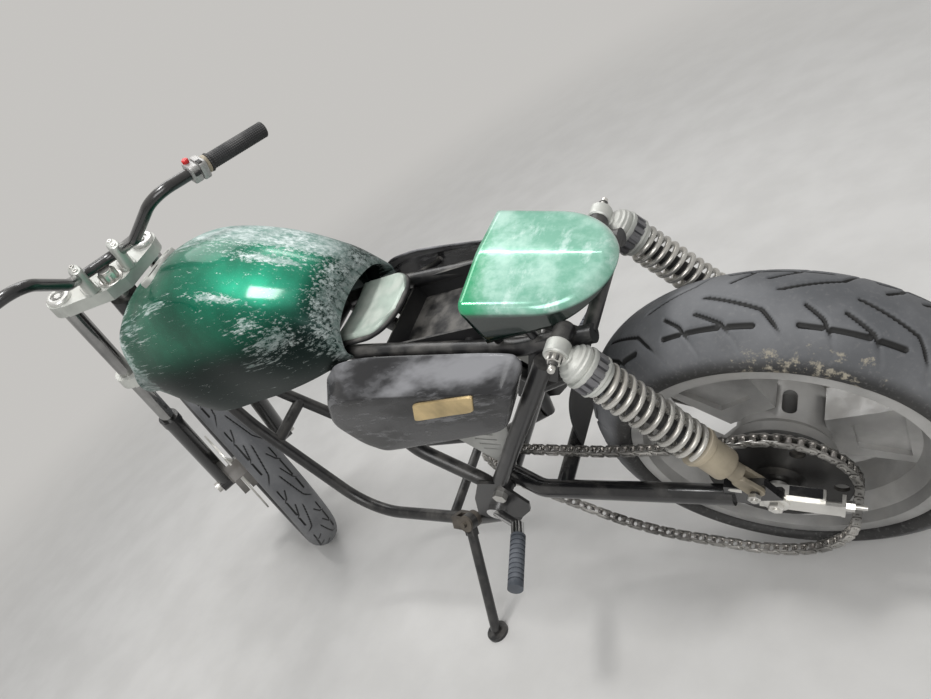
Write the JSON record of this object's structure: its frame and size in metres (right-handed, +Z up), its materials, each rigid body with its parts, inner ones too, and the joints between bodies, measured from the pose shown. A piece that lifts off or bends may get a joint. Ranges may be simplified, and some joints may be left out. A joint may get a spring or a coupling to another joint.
{
  "type": "cafe racer motorcycle chassis",
  "caption": "Cafe racer motorcycle without engine, leaning on its side stand: cradle frame, tank, short seat cowl, spoked cast wheels, twin rear shocks, drive chain and telescopic fork.",
  "frame": {"origin": "centre of the bounding box's underside, on the floor", "axes": "+X ahead, +Y to the machine's left, +Z up; the machine leans 9 degrees to its left"},
  "size_m": [2.1226, 0.8796, 1.1444],
  "materials": {
    "alloy": "satin",
    "black_plastic": "matt",
    "chain": "oily",
    "chrome": "polished",
    "cover_black": "gloss, dusty",
    "cowl_green": "gloss, mottled",
    "frame_black": "satin, dusty",
    "panel_grey": "satin",
    "rubber": "ribbed",
    "shock_body": "satin",
    "spring_silver": "gloss",
    "steel": "dull",
    "tank_green": "metallic gloss, worn and scratched",
    "tyre": "matt",
    "wheel_grey": "satin cast, dusty",
    "zinc": "plated"
  },
  "bodies": {
    "chassis": {"rear_axle": "zinc", "swingarm": "frame_black", "chain_adjusters": "zinc", "drive_chain": "chain", "frame_spine": "frame_black", "frame_cradle_left": "frame_black", "frame_cradle_right": "frame_black", "frame_upright_left": "frame_black", "frame_upright_right": "frame_black", "frame_rear_left": "frame_black", "frame_rear_right": "frame_black", "frame_cross_tubes": "frame_black", "pivot_bolt": "zinc", "shock_left": "shock_body", "shock_right": "shock_body", "spring_left": "spring_silver", "spring_right": "spring_silver", "fuel_tank": "tank_green", "filler_cap": "chrome", "tunnel_plate": "panel_grey", "seat_cowl": "cowl_green", "battery_tray": "black_plastic", "inner_mudguard": "black_plastic", "side_cover_left": "cover_black", "side_cover_right": "cover_black", "louvre_left": "panel_grey", "louvre_right": "panel_grey", "peg_bracket_left": "chrome", "peg_bracket_right": "chrome", "footpeg_left": "rubber", "footpeg_right": "rubber", "brake_pedal": "frame_black", "rear_caliper": "alloy", "stand_bracket": "frame_black"},
    "rear_wheel": {"rear_wheel": "wheel_grey", "rear_tyre": "tyre", "rear_sprocket": "steel", "rear_brake_disc": "steel"},
    "side_stand": {"side_stand": "frame_black"},
    "fork": {"fork_top_clamp": "alloy", "fork_lower_clamp": "alloy", "steering_stem": "zinc", "front_axle": "zinc", "front_caliper": "alloy", "handlebar": "frame_black", "handlebar_clamps": "alloy", "stanchion_left": "chrome", "stanchion_right": "chrome", "fork_slider_left": "frame_black", "fork_slider_right": "frame_black", "grip_left": "rubber", "grip_right": "rubber", "switch_left": "alloy", "switch_right": "alloy"},
    "front_wheel": {"front_wheel": "wheel_grey", "front_tyre": "tyre", "front_brake_disc": "steel"}
  },
  "joints": [
    {"name": "rear_wheel_spin", "type": "hinge", "parent": "chassis", "child": "rear_wheel", "pos_m": [-0.75235, -0.11895, 0.30625], "axis": [0.0006, 0.9877, -0.1564], "continuous": true},
    {"name": "side_stand", "type": "hinge", "parent": "chassis", "child": "side_stand", "pos_m": [-0.09708, 0.0206, 0.2308], "axis": [0.0576, 0.8883, 0.4556], "range_deg": [0, 87.3]},
    {"name": "steering", "type": "hinge", "parent": "chassis", "child": "fork", "pos_m": [0.42705, -0.02959, 0.87463], "axis": [-0.4509, 0.1399, 0.8815], "range_deg": [-8, 62]},
    {"name": "front_wheel_spin", "type": "hinge", "parent": "fork", "child": "front_wheel", "pos_m": [0.75299, -0.13725, 0.33243], "axis": [0.4057, 0.9118, 0.0628], "continuous": true}
  ]
}
